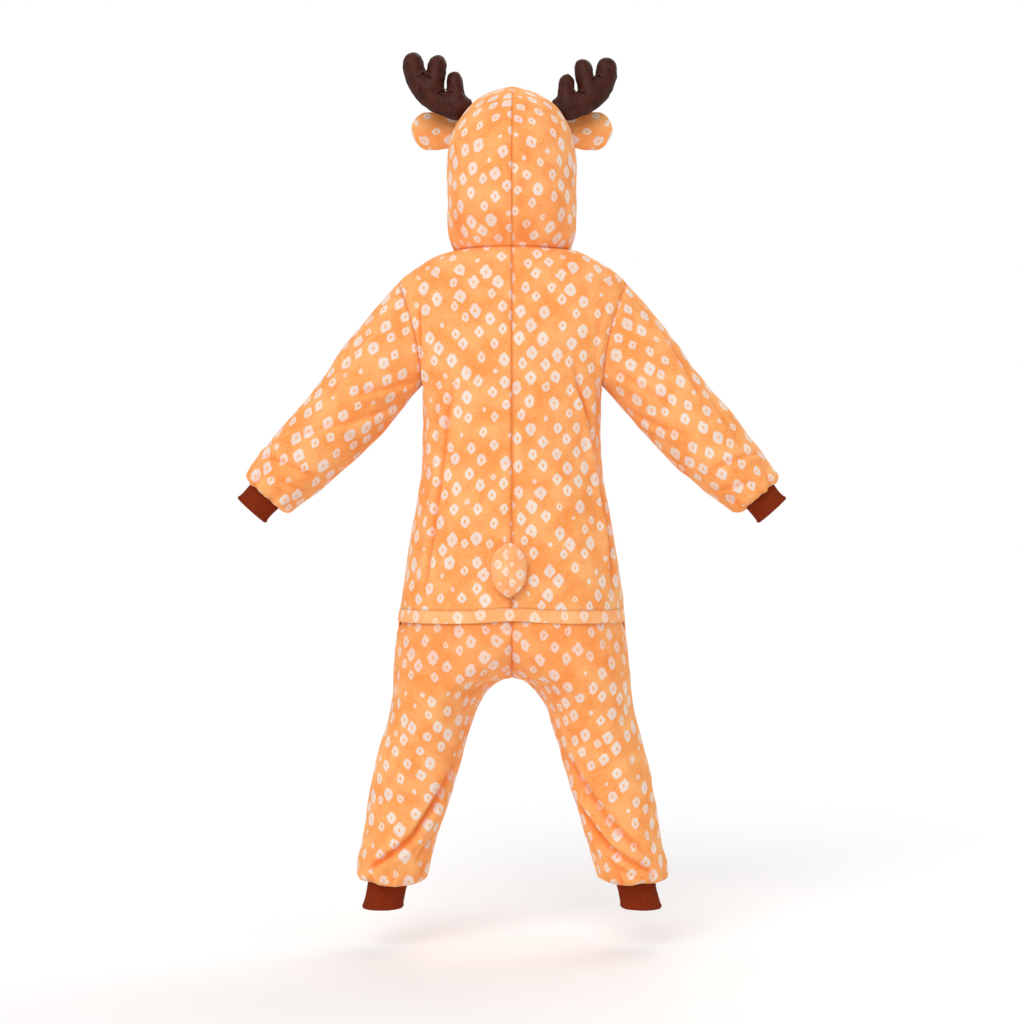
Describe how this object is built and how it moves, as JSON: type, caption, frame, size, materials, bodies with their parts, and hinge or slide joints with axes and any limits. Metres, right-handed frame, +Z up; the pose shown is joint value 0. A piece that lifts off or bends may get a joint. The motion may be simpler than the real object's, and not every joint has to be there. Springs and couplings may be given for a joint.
{
  "type": "hooded fawn onesie",
  "caption": "Child's hooded one-piece fawn costume in dappled fleece with stuffed antlers, ears, tail, rib cuffs, back flap and buttoned front, in worn form.",
  "frame": {"origin": "middle of the shoulders at the height of the side of the neck, where the garment is carried", "axes": "+Z up, -Y to the wearer's front, +X to the wearer's left"},
  "size_m": [0.757, 0.2643, 1.1788],
  "materials": {
    "fawn_fleece": "brushed short-pile fleece printed with pale dapples",
    "rib_knit": "fine ribbed knit",
    "antler_velour": "stuffed short velour with a low sheen",
    "ear_lining": "short pale plush",
    "button": "satin moulded plastic"
  },
  "bodies": {
    "root": {"ankle_cuff_left": "rib_knit", "ankle_cuff_right": "rib_knit", "antler_left": "antler_velour", "antler_right": "antler_velour", "back_left": "fawn_fleece", "back_right": "fawn_fleece", "button_1": "button", "button_2": "button", "button_3": "button", "button_4": "button", "button_5": "button", "button_6": "button", "ear_back_left": "fawn_fleece", "ear_back_right": "fawn_fleece", "ear_front_left": "ear_lining", "ear_front_right": "ear_lining", "flap_hem": "fawn_fleece", "front_left": "fawn_fleece", "front_right": "fawn_fleece", "hood_left": "fawn_fleece", "hood_right": "fawn_fleece", "placket": "fawn_fleece", "seat_left": "fawn_fleece", "seat_right": "fawn_fleece", "sleeve_left": "fawn_fleece", "sleeve_right": "fawn_fleece", "tail": "fawn_fleece", "wrist_cuff_left": "rib_knit", "wrist_cuff_right": "rib_knit"}
  },
  "joints": []
}
